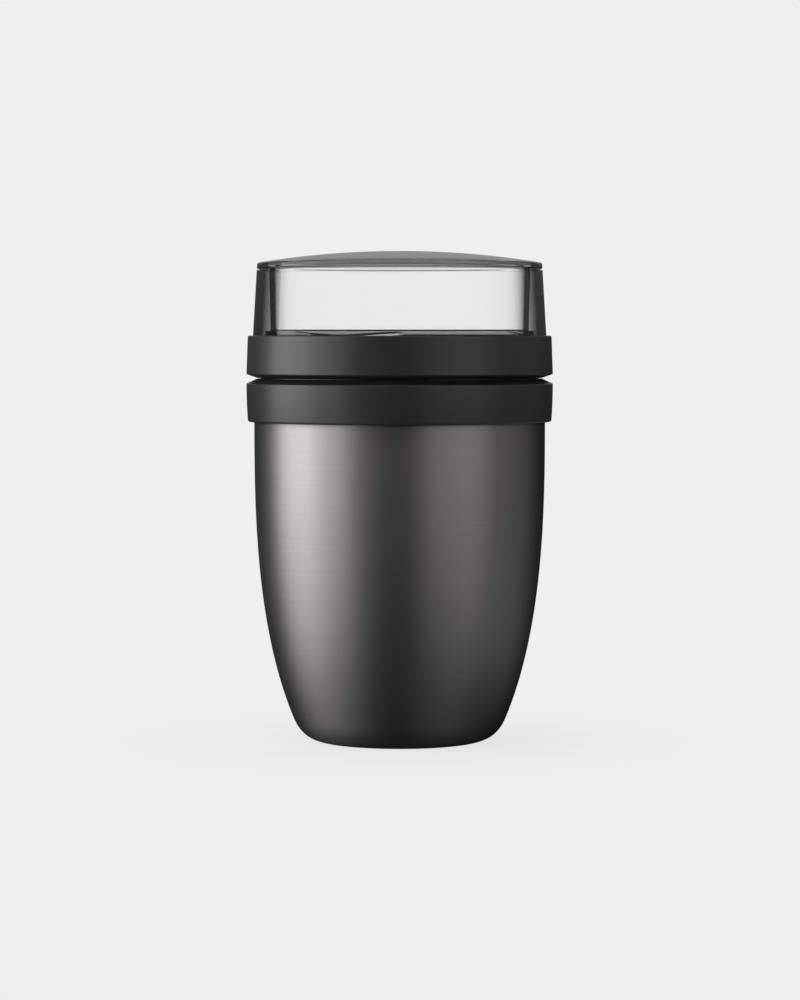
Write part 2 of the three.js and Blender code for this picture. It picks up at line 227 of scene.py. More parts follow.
class RingSizes(bpy.types.PropertyGroup):
    """Sizes of the black collar and lid."""

    ring_radius: length("Ring radius", "Widest radius of both rings", radius_of("collar"))
    draft: length("Draft", "How much a ring narrows away from the groove", 0.5 * MM)
    collar_height: length("Collar height", "Lower edge to the groove", 13.3 * MM)
    collar_round: length("Collar round", "Rounding of the lower edge", 1.4 * MM)
    groove_height: length("Groove height", "Height of the V groove", 3.3 * MM)
    groove_gap: length("Groove gap", "Open slit at the root of the groove", 0.35 * MM)
    ring_wall: length("Ring wall", "Lid ring, outside to thread root", 3.6 * MM)
    ring_round: length("Ring round", "Rounding of the ring's top edge", 0.7 * MM)
    neck_wall: length("Neck wall", "Wall of the threaded neck", 1.2 * MM)
    socket_depth: length("Socket depth", "How deep the sleeve stands in the ring", 3.3 * MM)
    web: length("Web", "Thickness between ring and plug", 1.5 * MM)
    plug_wall: length("Plug wall", "Wall of the plug", 1.2 * MM)
    well_floor: length("Well floor", "Floor under the cup", 1.3 * MM)
    thread_depth: length("Thread depth", "Height of a rib over its wall", 1.1 * MM)
    thread_rib: length("Thread rib", "Width of a rib at its root", 1.8 * MM)
    thread_lead: length("Thread lead", "Rise in one turn", 18 * MM)


class ClearSizes(bpy.types.PropertyGroup):
    """Sizes of the clear cup, sleeve and cap."""

    sleeve_radius: length("Sleeve radius", "Outside of the sleeve at the ring", radius_of("clear_sleeve"))
    taper: length("Taper", "How much narrower the cap's edge is than the sleeve's foot", 1.5 * MM)
    sleeve_wall: length("Sleeve wall", "Wall of the sleeve", 3 * MM)
    cap_plate: length("Cap plate", "Thickness of the cap's dome", 1.8 * MM)
    cap_round: length("Cap round", "Rounding of the cap's edge", 1.2 * MM)
    cap_rib: length("Cap rib", "Rib under the cap, inside the cup's rim", 1.6 * MM)
    dome_rise: length("Dome rise", "Crown above the cap's edge", 4.1 * MM)
    cup_wall: length("Cup wall", "Wall of the cup", 1.8 * MM)
    cup_floor: length("Cup floor", "Floor of the cup", 1.8 * MM)
    cup_step: length("Cup step", "How much wider the cup is above its flange than below it", 1.3 * MM)
    cup_draft: length("Cup draft", "How much wider the cup is at its rim than above its flange", 0.5 * MM)
    cup_corner: length("Cup corner", "Rounding between wall and floor", 4 * MM)
    flange_show: length("Flange show", "Flange above the lid's ring", 1.6 * MM)
    thread_depth: length("Thread depth", "Height of a rib over its wall", 1 * MM)
    thread_rib: length("Thread rib", "Width of a rib at its root", 1 * MM)


class Finishes(bpy.types.PropertyGroup):
    """Colours and roughness of the finishes."""

    steel_dark: colour("Steel, dark", "Brush lines of the shell", (0.31, 0.292, 0.283))
    steel_light: colour("Steel, light", "Metal between the brush lines", (0.36, 0.339, 0.328))
    steel_rough: share("Steel roughness", "Roughness of the brushed shell", 0.47)
    liner: colour("Liner", "Plain steel of the liner and plate", (0.56, 0.55, 0.53))
    button: colour("Button", "Dull metal of the seal button", (0.2, 0.2, 0.21))
    getter: colour("Getter", "Dull metal of the getter", (0.25, 0.26, 0.27))
    black: colour("Black plastic", "Collar, lid and plug", (0.015, 0.015, 0.0155))
    black_rough: share("Plastic roughness", "Roughness of the black plastic", 0.37)
    clear: colour("Clear plastic", "Cup, sleeve and cap, seen square on", (0.99, 0.99, 0.99))
    # Painted shade: the edge colours darken the clear plastic where a wall is seen along its length, and
    # the flange colour darkens the cup's flange from every side
    cup_edge_shade: colour("Cup edge", "Cup's plastic, seen along the wall", (0.42, 0.42, 0.425))
    flange: colour("Flange", "Cup's plastic in its flange", (0.28, 0.28, 0.285))
    sleeve_edge_shade: colour("Sleeve edge", "Sleeve's plastic, seen along the wall", (0.12, 0.12, 0.125))
    cap_edge: colour("Cap edge", "Cap's plastic, seen along its rim", (0.7, 0.7, 0.705))
    milky: colour("Milky silicone", "Rim seal", (0.62, 0.62, 0.61))
    grey: colour("Grey silicone", "Gaskets and lid seal", (0.27, 0.28, 0.29))
    foam: colour("Foam", "Disc in the plug", (0.78, 0.74, 0.64))


class StageSettings(bpy.types.PropertyGroup):
    """Light and backdrop."""

    backdrop: colour("Backdrop", "Floor and backdrop", (0.863, 0.863, 0.863))
    # Painted reflection: the dark cloth emits this colour, and only reflections show it
    surround: colour("Surround", "Dark cloth that the steel reflects", (0.178, 0.165, 0.161))
    # Painted light: glows of a lit table that the cloth emits, as the steel reflects it
    left_painted_glow: share("Left glow", "Table on the left, as the steel reflects it", 0.65)
    right_painted_glow: share("Right glow", "Table on the right, as the steel reflects it", 0.25)
    far_painted_glow: share("Far glow", "Table under the key softbox, as the steel reflects it", 0.9)
    ambient: share("Ambient", "Light from all round", 0.3, 2.0)
    key_power: power("Key power", "Softbox on the left", 9.2)
    front_power: power("Front power", "Softbox on the left in front", 3.3)
    side_power: power("Side power", "Softbox on the right", 2.3)
    fill_power: power("Fill power", "Wide, dim softbox on the right", 0.9)
    back_power: power("Back power", "Low softbox behind", 0.36)
    top_power: power("Top power", "Softbox overhead", 2.0)


# Outlines and surfaces


def rounded(*parts, closed=False):
    """Outline through corners of (radius, height, rounding), given one by one and in tables.

    Each corner becomes the curve (1-t)^2 A + 2t(1-t) C + t^2 B, where C is the corner and A and B
    lie one rounding before and after it. One more point on each side, a little further out, keeps
    the straight runs flat. A rounding of nought keeps the corner as one point.
    """
    table = np.concatenate([np.atleast_2d(part) for part in parts])
    place, rounding = table[:, :2], table[:, 2]
    if not closed:
        rounding[[0, -1]] = 0.0
    before, after = np.roll(place, 1, axis=0) - place, np.roll(place, -1, axis=0) - place
    before_length = np.linalg.norm(before, axis=1, keepdims=True)
    after_length = np.linalg.norm(after, axis=1, keepdims=True)
    cut = np.minimum(rounding[:, None], np.minimum(before_length, after_length) / (2 * SUPPORT))
    before = before / np.maximum(before_length, NIL) * cut
    after = after / np.maximum(after_length, NIL) * cut
    start, end = place + before, place + after
    t = np.linspace(0, 1, CURVE_STEPS + 1)[None, :, None]
    curve = (1 - t) ** 2 * start[:, None] + 2 * t * (1 - t) * place[:, None] + t**2 * end[:, None]
    lead_in = (place + before * SUPPORT)[:, None]
    lead_out = (place + after * SUPPORT)[:, None]
    points = np.concatenate([lead_in, curve, lead_out], axis=1).reshape(-1, 2)
    keep = np.linalg.norm(np.diff(points, axis=0, prepend=points[-1:]), axis=1) > NIL
    keep[0] |= not closed
    return points[keep]


def corners_of(radii, heights):
    """Points of a curve as corners without rounding."""
    return np.column_stack(np.broadcast_arrays(radii, heights, 0.0))


def between(low, high, ends):
    """Lowest and highest row of a run, with the space at its ends left out."""
    return low + ends[0], high - ends[1]


def straight(radius, run, rows):
    """Corners spread evenly along a wall, for a run that carries a thread."""
    return corners_of(radius, np.linspace(*run, rows))


def lathe(*parts, closed=False, **turning):
    """Surface turned from the rounded outline through corners."""
    return turned(rounded(*parts, closed=closed), closed=closed, **turning)


def turned(outline, relief=None, sides=SIDES, centre=(0.0, 0.0), closed=False):
    """Points and faces of an outline carried once round the axis.

    Point (i, j) is (R cos a_j, R sin a_j, z_i) with R = r_i plus the relief at (a_j, r_i, z_i).
    An end on the axis is one point with a fan of triangles; a closed outline joins its last row
    to its first.
    """
    angle = np.arange(sides) * TURN / sides
    r, z = outline[:, :1], outline[:, 1:2]
    radius = r + (relief(angle[None, :], r, z) if relief else 0.0) + 0.0 * angle
    grid = np.stack(
        [radius * np.cos(angle) + centre[0], radius * np.sin(angle) + centre[1], z + 0.0 * angle],
        axis=-1,
    )
    rows = len(outline)
    first = 0 if closed or outline[0, 0] > NIL else 1
    last = rows if closed or outline[-1, 0] > NIL else rows - 1
    body = grid[first:last]
    count = len(body)
    i = np.arange(count if closed else count - 1)[:, None]
    j = np.arange(sides)[None, :]
    beside, above = (j + 1) % sides, (i + 1) % count
    quads = np.stack(
        [i * sides + j, i * sides + beside, above * sides + beside, above * sides + j], axis=-1,
    ).reshape(-1, 4)
    points, fans = [body.reshape(-1, 3)], [np.zeros((0, 3), int)]
    ring = np.arange(sides)
    if first:
        points.append(grid[0, :1])
        fans.append(np.column_stack([np.full(sides, count * sides), np.roll(ring, -1), ring]))
    if last < rows:
        pole = count * sides + first
        ring = ring + (count - 1) * sides
        points.append(grid[-1, :1])
        fans.append(np.column_stack([ring, np.roll(ring, -1), np.full(sides, pole)]))
    return np.concatenate(points), quads, np.concatenate(fans)


def smooth(x):
    """A smooth step, 3x^2 - 2x^3 from 0 to 1."""
    x = np.clip(x, 0, 1)
    return x * x * (3 - 2 * x)


def thread(sizes, lead, first_height, span, wall, run, first_angle=0.0, inward=False):
    """Relief of a screw thread on a wall of one radius, over a run of heights, for turned().

    A rib's centre climbs lead * angle / turn from its start. Its height over the wall is a smooth
    step of the distance from that centre, full at the crest and nought at half a rib, and it
    runs out in a smooth step at both ends. On a bore it points inward.
    """
    rib, depth = sizes.thread_rib, sizes.thread_depth * (-1 if inward else 1)
    begin = first_angle + TURN * np.arange(STARTS) / STARTS

    def relief(angle, r, z):
        along = np.mod(angle[..., None] - begin, TURN)
        centre = first_height + rib / 2 + lead * along / TURN
        across = smooth((rib / 2 - np.abs(z[..., None] - centre)) / (RIB_FLANK * rib))
        ends = smooth(np.minimum(along, span - along) / RUN_OUT)
        height = depth * (across * ends).max(axis=-1)
        in_run = (z > run[0] - WALL_BAND) & (z < run[1] + WALL_BAND)
        return np.where(in_run & (np.abs(r - wall) < WALL_BAND), height, 0.0)

    return relief


def offset(outline, distance):
    """An outline moved to its left by a distance: each point goes along the mean of the normals
    of its two runs, by distance over the cosine of half their turn."""
    run = np.diff(outline, axis=0)
    normal = np.column_stack([-run[:, 1], run[:, 0]]) / np.linalg.norm(run, axis=1, keepdims=True)
    before = np.concatenate([normal[:1], normal])
    after = np.concatenate([normal, normal[-1:]])
    middle = before + after
    middle /= np.linalg.norm(middle, axis=1, keepdims=True)
    return outline + middle * (distance / (middle * before).sum(axis=1, keepdims=True))


def model(name, surface, material):
    """A smooth mesh object from points and faces."""
    points, quads, fans = surface
    mesh = bpy.data.meshes.new(name)
    mesh.vertices.add(len(points))
    mesh.vertices.foreach_set("co", points.astype(np.float32).ravel())
    corners = np.concatenate([quads.ravel(), fans.ravel()]).astype(np.int32)
    counts = np.concatenate([np.full(len(quads), 4), np.full(len(fans), 3)])
    mesh.loops.add(len(corners))
    mesh.loops.foreach_set("vertex_index", corners)
    mesh.polygons.add(len(counts))
    starts = np.concatenate([[0], np.cumsum(counts)[:-1]]).astype(np.int32)
    mesh.polygons.foreach_set("loop_start", starts)
    mesh.update(calc_edges=True)
    mesh.polygons.foreach_set("use_smooth", np.ones(len(counts), bool))
    mesh.materials.append(material)
    made = bpy.data.objects.new(name, mesh)
    bpy.context.scene.collection.objects.link(made)
    return made


def piece(name, surface, material, node, body):
    """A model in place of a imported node, which moves with a body."""
    made = model(name, surface, material)
    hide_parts(node)
    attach(made, body)


# Materials


class Wire:
    """One output of a node. Arithmetic on it adds Math nodes."""

    def __init__(self, graph, socket):
        self.graph, self.socket = graph, socket

    def math(self, operation, first, second):
        return self.graph.node("ShaderNodeMath", {"operation": operation}, {0: first, 1: second})

    def __add__(self, other):
        return self.math("ADD", self, other)

    def __sub__(self, other):
        return self.math("SUBTRACT", self, other)

    def __rsub__(self, other):
        return self.math("SUBTRACT", other, self)

    def __mul__(self, other):
        return self.math("MULTIPLY", self, other)

    __radd__ = __add__
    __rmul__ = __mul__

    def largest(self, other):
        return self.math("MAXIMUM", self, other)

    def step(self, low, high):
        """A smooth step from 0 at low to 1 at high."""
        return self.graph.node(
            "ShaderNodeMapRange", {"interpolation_type": "SMOOTHSTEP"},
            {"Value": self, "From Min": low, "From Max": high},
        )


class Graph:
    """The emptied node tree of a material or a world, with one method that adds a node."""

    def __init__(self, owner):
        owner.use_nodes = True
        self.owner, self.tree = owner, owner.node_tree
        self.tree.nodes.clear()

    def node(self, kind, settings=None, sockets=None, output=0):
        made = self.tree.nodes.new(kind)
        for key, value in (settings or {}).items():
            setattr(made, key, value)
        for key, value in (sockets or {}).items():
            if isinstance(value, Wire):
                self.tree.links.new(value.socket, made.inputs[key])
            else:
                made.inputs[key].default_value = value
        return Wire(self, made.outputs[output]) if made.outputs else None

    def place(self, scale=(1.0, 1.0, 1.0)):
        """Object coordinates, stretched."""
        here = self.node("ShaderNodeTexCoord", output="Object")
        return self.node("ShaderNodeMapping", {}, {"Vector": here, "Scale": scale})

    def axis(self, name):
        """One of the Object coordinates."""
        return self.node("ShaderNodeSeparateXYZ", {}, {0: self.place()}, output=name)

    def reach(self, scale=(1.0, 1.0, 1.0)):
        """Distance from the origin, on stretched Object coordinates."""
        return self.node(
            "ShaderNodeVectorMath", {"operation": "LENGTH"}, {0: self.place(scale)}, output="Value",
        )

    def noise(self, across, detail, rough, upright=None):
        """Noise of about 0 to 1, with the same scale in all directions or another one upright."""
        vector = self.place((across, across, upright or across))
        return self.node(
            "ShaderNodeTexNoise", {},
            {"Vector": vector, "Scale": 1.0, "Detail": detail, "Roughness": rough},
        )

    def blend(self, factor, first, second):
        """A colour between two colours."""
        return self.node(
            "ShaderNodeMix", {"data_type": "RGBA"}, {0: factor, 6: first, 7: second}, output=2,
        )

    def mix(self, factor, first, second):
        """A shader between two shaders."""
        return self.node("ShaderNodeMixShader", {}, {0: factor, 1: first, 2: second})

    def bump(self, height, distance, strength):
        return self.node(
            "ShaderNodeBump", {},
            {"Height": height, "Distance": distance, "Strength": strength}, output="Normal",
        )

    def close(self, shader, kind="ShaderNodeOutputMaterial"):
        """Feeds the finished shader to the tree's output, and gives back the tree's owner."""
        self.node(kind, {}, {"Surface": shader})
        return self.owner

    def principled(self, sockets):
        """The material, finished with one shader."""
        return self.close(self.node("ShaderNodeBsdfPrincipled", {}, sockets))


def opaque(tone, level=1.0):
    """A colour times a level, with its alpha."""
    return (*(level * c for c in tone), 1.0)


def new_finish(name):
    """The graph of a new material."""
    return Graph(bpy.data.materials.new(name))


def brushed_steel(finishes):
    """Steel brushed round the axis: noise stretched along the turn gives lines one to seven tenths
    of a millimetre high, in colour, roughness and relief, over a broad drift in roughness."""
    graph = new_finish("brushed_steel")
    fine = graph.noise(22.0, 2.0, 0.6, 7000.0)
    broad = graph.noise(9.0, 2.0, 0.6, 1500.0)
    drift = graph.noise(14.0, 2.0, 0.5, 30.0)
    lines = fine * 0.75 + broad * 0.25
    mark = lines.step(0.2, 0.8)
    return graph.principled({
        "Base Color": graph.blend(mark, opaque(finishes.steel_dark), opaque(finishes.steel_light)),
        "Metallic": 1.0, "Roughness": finishes.steel_rough - 0.05 + lines * 0.06 + drift * 0.04,
        # Specular Tint at 0.12 is painted shade: it darkens the steel's reflection towards its silhouette
        # edges
        "Anisotropic": 0.66, "Anisotropic Rotation": 0.25, "Specular Tint": opaque(WHITE[:3], 0.12),
        "Normal": graph.bump(lines, 0.01 * MM, 0.25),
    })


def plain_steel(name, tone, rough, spun):
    """Bare metal with faint turning lines and a cloudy drift in tone and roughness."""
    graph = new_finish(name)
    lines = graph.noise(spun, 2.0, 0.5, 1600.0)
    cloud = graph.noise(60.0, 4.0, 0.6)
    return graph.principled({
        "Base Color": graph.blend(cloud, opaque(tone, 0.78), opaque(tone)), "Metallic": 1.0,
        "Roughness": rough - 0.08 + 0.1 * lines + 0.08 * cloud,
        "Normal": graph.bump(lines, 0.01 * MM, 0.5),
    })


def black_plastic(finishes):
    """Moulded black plastic: fine grain in relief and roughness, slow drifts in tone and roughness."""
    graph = new_finish("black_plastic")
    grain = graph.noise(4200.0, 2.0, 0.6)
    cloud = graph.noise(70.0, 3.0, 0.55)
    return graph.principled({
        "Base Color": graph.blend(cloud, opaque(finishes.black), opaque(finishes.black, 1.35)),
        "Roughness": finishes.black_rough - 0.05 + 0.06 * cloud + 0.05 * grain,
        "Normal": graph.bump(grain, 0.02 * MM, 0.2),
    })


def clear_plastic(name, clear, edge, fade, band, gloss=1.0, index=CLEAR_INDEX, lump=None):
    """Clear plastic: light passes square on, and painted shade darkens it to the edge colour over the
    fade, where a wall is seen along its length. Only faces in a band of radii get this painted shade.
    A lump, beyond its radius, is painted darker from every side, as painted shade. Gloss scales the
    mirror image on it."""
    graph = new_finish(name)
    reach = graph.reach(FLAT)

    def beyond(radius):
        return reach.step(radius - BAND_BLUR, radius + BAND_BLUR)

    # Painted shade: darkens where a wall in the band of radii is seen along its length
    facing = graph.node("ShaderNodeLayerWeight", {}, {"Blend": 0.5}, output="Facing")
    along = facing.step(*fade) * (beyond(band[0]) - beyond(band[1]))
    tone = graph.blend(along, opaque(clear), opaque(edge))
    # Painted shade: beyond the lump's radius the plastic is painted darker from every side
    if lump:
        radius, dark = lump
        tone = graph.blend(beyond(radius), tone, opaque(dark))
    smear = graph.noise(90.0, 3.0, 0.6)
    return graph.principled({
        "Base Color": tone, "Roughness": 0.01 + 0.025 * smear.step(0.5, 0.75),
        "IOR": index, "Transmission Weight": 1.0, "Specular Tint": opaque(WHITE[:3], gloss),
    })


def silicone(name, tone, through=0.0):
    """Soft silicone with a fine matte skin and faint cloudiness."""
    graph = new_finish(name)
    cloud = graph.noise(160.0, 3.0, 0.6)
    skin = graph.noise(3000.0, 2.0, 0.5)
    return graph.principled({
        "Base Color": graph.blend(cloud, opaque(tone, 0.85), opaque(tone)),
        "Roughness": 0.5 + 0.15 * cloud, "Transmission Weight": through, "IOR": 1.41,
        "Normal": graph.bump(skin, 0.015 * MM, 0.3),
    })


def foam(tone):
    """Closed-cell foam: small round cells in tone and relief."""
    graph = new_finish("foam")
    cells = graph.node(
        "ShaderNodeTexVoronoi", {}, {"Vector": graph.place(), "Scale": 1300.0}, output="Distance",
    )
    return graph.principled({
        "Base Color": graph.blend(cells, opaque(tone, 0.75), opaque(tone)),
        "Roughness": 0.85 + 0.1 * cells, "Normal": graph.bump(cells, 0.1 * MM, 0.6),
    })


# Heights and radii that several pieces share


class Levels:
    """Heights and radii worked out from the settings, as the pieces are fitted to each other."""

    def __init__(self, scene):
        pot, ring, clear = scene.bowl_pot, scene.bowl_ring, scene.bowl_clear
        self.pot, self.ring, self.clear = pot, ring, clear
        self.collar_top = pot.body_height + ring.collar_height
        self.ring_bottom = self.collar_top + ring.groove_height
        self.ring_top = top_of("lid_body")
        self.groove = (self.collar_top + self.ring_bottom) / 2
        self.web_top = self.ring_top - ring.socket_depth
        self.web_bottom = self.web_top - ring.web
        self.neck_top = top_of("collar")
        self.shoulder = pot.body_height + pot.shoulder_rise
        self.ring_edge = ring.ring_radius - ring.draft
        self.ring_bore = ring.ring_radius - ring.ring_wall
        self.neck_root = self.ring_bore - THREAD_FIT - ring.thread_depth
        self.neck_bore = self.neck_root - ring.neck_wall
        self.shell_neck = self.neck_bore - FIT
        self.liner_neck = self.shell_neck - pot.sheet - FIT
        self.mouth = self.liner_neck - pot.sheet
        self.plug_radius = self.mouth - SLIDE_FIT
        self.well_radius = self.plug_radius - ring.plug_wall
        self.cap_edge = top_of("dome_cap") - clear.dome_rise
        self.cap_radius = clear.sleeve_radius - clear.taper
        self.skirt = foot_of("clear_sleeve")
        self.skirt_bore = clear.sleeve_radius - clear.sleeve_wall
        self.flange_root = self.skirt_bore - FIT - clear.thread_depth
        self.flange_top = self.ring_top + clear.flange_show
        self.cup_low = self.well_radius - FIT
        self.cup_high = self.cup_low + clear.cup_step
        self.cup_rim = self.cup_high + clear.cup_draft

    def side(self, z):
        """Radius of the steel side at a height: body radius times the square root of one less the
        share of the depth to the power of the fullness."""
        pot = self.pot
        depth = np.clip((pot.body_height - z) / (pot.body_height + pot.oval_sink), 0, 1)
        return pot.body_radius * np.sqrt(1 - depth**pot.fullness)

    def body_outline(self, innermost):
        """Outside of the pot from a point under it, round the foot's corner and up the side. The
        corner is a curve from the foot ring to the side, along both their tangents."""
        pot = self.pot
        corner = np.array([self.side(pot.foot_corner), pot.foot_corner])
        slope = (self.side(pot.foot_corner + FIT) - corner[0]) / FIT
        meet = np.array([corner[0] - slope * pot.foot_corner, 0.0])
        start = np.array([pot.foot_radius, 0.0])
        t = np.linspace(0, 1, FOOT_ROWS)[:, None]
        foot = (1 - t) ** 2 * start + 2 * t * (1 - t) * meet + t**2 * corner
        z = pot.foot_corner + (pot.body_height - pot.foot_corner) * np.linspace(0, 1, SIDE_ROWS)[1:]
        return np.concatenate([[[innermost, 0.0]], foot, np.column_stack([self.side(z), z])])

    def dome(self, top, r):
        """Height of the shallow dome, part of a sphere, over a radius."""
        rise = self.clear.dome_rise
        sphere = (self.cap_radius**2 + rise**2) / (2 * rise)
        return top - sphere + np.sqrt(sphere**2 - r**2)

    def clear_side(self, z):
        """Radius of the tapered line that the sleeve and the cap share."""
        rise = (z - self.ring_top) / (self.cap_edge - self.ring_top)
        return self.clear.sleeve_radius - self.clear.taper * rise

    def lid_span(self, room):
        """Turn of a rib between collar and lid, in the height that its centre may climb."""
        return min(LID_RIB_TURN, room / self.ring.thread_lead * TURN)

    def sleeve_thread(self):
        """Turn that a rib takes between the skirt's foot and the flange's top, and the height where
        the flange's rib starts."""
        rib, lead = self.clear.thread_rib, self.ring.thread_lead
        room = self.flange_top - self.skirt - 2 * rib - 3 * FIT
        turn = min(SLEEVE_RIB_TURN, room / lead * TURN)
        return turn, self.flange_top - FIT - rib - lead * turn / TURN


def shell_surface(level):
    """Shell: outside from the foot ring over the shoulder to the neck, then back inside it."""
    pot = level.pot
    outside = rounded(
        corners_of(*level.body_outline(pot.foot_radius - pot.foot_width).T),
        (pot.body_radius, level.shoulder, pot.shoulder_round),
        (level.shell_neck, level.shoulder, BEND),
        (level.shell_neck, level.neck_top, 0),
    )
    inside = offset(outside, pot.sheet)[::-1]
    return turned(np.concatenate([outside, inside]), closed=True)


def liner_surface(level):
    """Liner: the pot's outline moved inward, a straight neck and a flat lip over the shell."""
    pot = level.pot
    outline = level.body_outline(0.0)[1:]
    outline[0] = (0.0, 0.0)
    outside = offset(outline, pot.sheet + pot.vacuum_gap)
    inside = offset(outline, 2 * pot.sheet + pot.vacuum_gap)
    outside[0, 0] = inside[0, 0] = 0.0
    lip = level.neck_top + FIT
    lip_top = lip + pot.sheet
    return lathe(
        corners_of(*outside.T),
        (level.liner_neck, level.shoulder, SWEEP),
        (level.liner_neck, lip, FINE),
        (level.shell_neck, lip, FINE),
        (level.shell_neck, lip_top, FINE),
        (level.mouth, lip_top, FINE),
        (level.mouth, level.shoulder, SWEEP),
        corners_of(*inside[::-1].T),
    )


def plate_surface(level):
    """Base plate: a flat rim on the foot ring, a cone and a raised middle."""
    pot = level.pot
    opening = pot.foot_radius - pot.foot_width
    low, high = foot_of("base_plate"), top_of("base_plate") - pot.sheet
    bottom = [
        (0, high, 0), (opening - pot.plate_cone, high, BEND),
        (opening, low, BEND), (opening + pot.plate_lap, low, CRISP),
    ]
    top = [(r, z + pot.sheet, c) for r, z, c in reversed(bottom)]
    return lathe(*bottom, *top)


def button_surface():
    """Seal button: a low disc, crowned at its lower face."""
    low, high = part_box("vacuum_seal_button")
    radius, flat, crown = high.x, 0.55 * high.x, 0.2 * MM
    return lathe(
        (0, low.z, 0), (flat, low.z, SOFT), (radius, low.z + crown, NEAT),
        (radius, high.z, HAIR), (0, high.z, 0), sides=SMALL_SIDES,
    )


def getter_surface():
    """Getter: a small pellet beside the axis, with a dished top."""
    low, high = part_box("getter")
    radius, middle = (high.x - low.x) / 2, (high.x + low.x) / 2
    rim, bowl, dish = 0.75 * radius, 0.6 * radius, 0.25 * MM
    return lathe(
        (0, low.z, 0), (radius, low.z, FINE), (radius, high.z, EASED), (rim, high.z, EASED),
        (bowl, high.z - dish, EASED), (0, high.z - dish, 0),
        sides=SMALL_SIDES, centre=(middle, 0.0),
    )


def collar_surface(level):
    """Collar: outer ring, lower half of the V groove, threaded neck and the bore over the steel.
    The ring's side bows out: it draws in with the square of the depth below its top."""
    pot, ring = level.pot, level.ring
    bore, root = pot.body_radius + FIT, level.neck_root
    step = top_of("collar_gasket") + FIT
    depth = np.linspace(*BARREL_SPAN, BARREL_ROWS)
    bowed = ring.ring_radius - ring.draft * depth**2
    run = between(level.groove, level.neck_top, NECK_ENDS)
    low = level.groove + FIT
    span = level.lid_span(level.neck_top - FIT - ring.thread_rib - low)
    relief = thread(ring, ring.thread_lead, low, span, root, run)
    return lathe(
        (bore, pot.body_height, NEAT),
        (level.ring_edge, pot.body_height, ring.collar_round),
        corners_of(bowed, level.collar_top - depth * ring.collar_height),
        (ring.ring_radius, level.collar_top, FULL),
        (level.ring_bore, level.groove, LEAST_ROUND),
        (root, level.groove, LEAST_ROUND),
        straight(root, run, THREAD_ROWS),
        (root, level.neck_top, FINE),
        (level.neck_bore, level.neck_top, FINE),
        (level.neck_bore, step, LEAST_ROUND),
        (bore, step, LEAST_ROUND),
        closed=True, relief=relief,
    )


def lid_surface(level):
    """Lid: plug with its well, web, threaded ring, upper half of the groove and the sleeve's socket."""
    ring, bore = level.ring, level.ring_bore
    gap = level.groove + ring.groove_gap
    socket = level.clear.sleeve_radius + FIT
    foot, well = foot_of("lid_body"), foot_of("snack_cup") - FIT
    floor = well - ring.well_floor
    run = between(gap, level.web_bottom, BORE_ENDS)
    low = gap + RIB_INSET
    back = (low - (level.groove - ring.thread_rib)) / ring.thread_lead * TURN
    span = level.lid_span(level.web_bottom - RIB_INSET - ring.thread_rib - low)
    relief = thread(ring, ring.thread_lead, low, span, bore, run, back, inward=True)
    return lathe(
        (0, floor, 0),
        (level.well_radius, floor, EASED),
        (level.well_radius, foot, EASED),
        (level.plug_radius, foot, SOFT),
        (level.plug_radius, level.web_bottom, EASED),
        (bore, level.web_bottom, EASED),
        straight(bore, run[::-1], THREAD_ROWS),
        (bore, gap, LEAST_ROUND),
        (ring.ring_radius, level.ring_bottom, FULL),
        (level.ring_edge, level.ring_top, ring.ring_round),
        (socket, level.ring_top, FINE),
        (socket, level.web_top, NEAT),
        (level.well_radius, level.web_top, EASED),
        (level.well_radius, well, BEND),
        (0, well, 0),
        relief=relief,
    )


def plug_cap_surface():
    """Plug cap: a disc with a rounded edge, a shallow ring groove and a small dimple in the middle."""
    low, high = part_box("plug_cap")
    radius, sunk = high.x, low.z + 0.35 * MM
    dimple, dimple_edge = 2.0 * MM, 2.6 * MM
    inner_edge, inner, outer, outer_edge = (k * radius for k in (0.74, 0.755, 0.79, 0.805))
    return lathe(
        (0, sunk, 0), (dimple, sunk, EASED), (dimple_edge, low.z, EASED),
        (inner_edge, low.z, EASED), (inner, sunk, EASED), (outer, sunk, EASED),
        (outer_edge, low.z, EASED), (radius, low.z, MILD), (radius, high.z, CRISP), (0, high.z, 0),
    )


def seal_surface(node, inner):
    """Seal ring: a band with rounded edges, and a shallow groove between two lips on each face."""
    low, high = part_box(node)
    outer, thick = high.x, high.z - low.z
    sunk, corner = 0.22 * thick, 0.3 * thick
    left, right = np.linspace(inner, outer, 4)[1:-1]
    return lathe(
        (inner, low.z, corner), (left, low.z + sunk, CRISP), (right, low.z + sunk, CRISP),
        (outer, low.z, corner), (outer, high.z, corner),
        (right, high.z - sunk, CRISP), (left, high.z - sunk, CRISP), (inner, high.z, corner),
        closed=True,
    )


def foam_surface():
    """Foam: a disc on the axis with rounded edges."""
    low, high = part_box("lid_insulation")
    return lathe((0, low.z, 0), (high.x, low.z, SOFT), (high.x, high.z, SOFT), (0, high.z, 0))


def cup_surface(level):
    """Cup: rounded floor, outer wall with its threaded flange, rim, and inner wall with its step."""
    clear, root = level.clear, level.flange_root
    bottom, rim = foot_of("snack_cup"), top_of("snack_cup")
    floor = bottom + clear.cup_floor
    seat = top_of("cup_gasket") + FIT
    bore = level.cup_low - clear.cup_wall
    run = between(seat, level.flange_top, FLANGE_ENDS)
    turn, low = level.sleeve_thread()
    relief = thread(clear, level.ring.thread_lead, low, turn, root, run)
    return lathe(
        (0, bottom, 0),
        (level.cup_low, bottom, clear.cup_corner),
        (level.cup_low, seat, EASED),
        (root, seat, FINE),
        straight(root, run, SHORT_THREAD_ROWS),
        (root, level.flange_top, FINE),
        (level.cup_high, level.flange_top, MILD),
        (level.cup_rim, rim, SOFT),
        (level.cup_rim - clear.cup_wall, rim, SOFT),
        (level.cup_high - clear.cup_wall, seat + clear.cup_step, SOFT),
        (bore, seat, SOFT),
        (bore, floor, clear.cup_corner),
        (0, floor, 0),
        relief=relief,
    )


